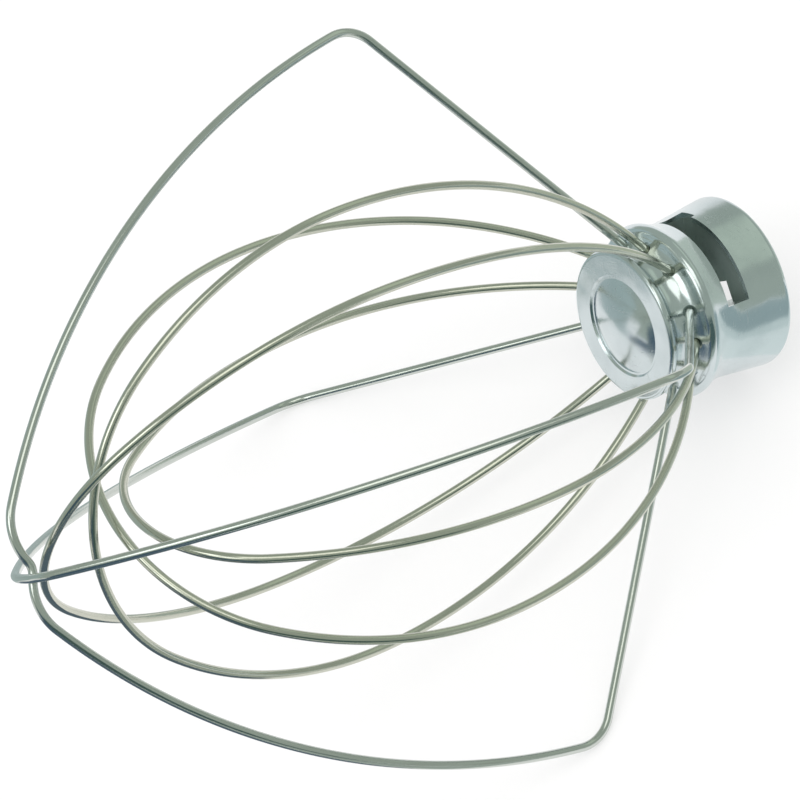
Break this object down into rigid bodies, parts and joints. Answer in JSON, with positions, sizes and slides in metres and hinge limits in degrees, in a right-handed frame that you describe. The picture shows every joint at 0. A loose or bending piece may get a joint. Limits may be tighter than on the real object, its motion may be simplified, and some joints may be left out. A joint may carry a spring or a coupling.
{
  "type": "stand mixer wire whisk",
  "caption": "Open balloon cage of nested bent wire loops seated in a cast hub, whose keyed socket locks onto a mixer's drive shaft by a bayonet slot.",
  "frame": {"origin": "on the hub's axis, at the socket rim that the whisk stands on", "axes": "+Z along the hub's axis from the socket to the tip of the loops, +X in the plane of the outer loop that dips at the tip, and the keyway towards -Y"},
  "size_m": [0.1344, 0.1342, 0.1541],
  "materials": {
    "cast_hub": "polished casting",
    "wire": "bright drawn wire"
  },
  "bodies": {
    "root": {"hub": "cast_hub", "outer_wire_a": "wire", "outer_wire_b": "wire", "inner_wire_1": "wire", "inner_wire_2": "wire", "inner_wire_3": "wire", "inner_wire_4": "wire"}
  },
  "joints": []
}
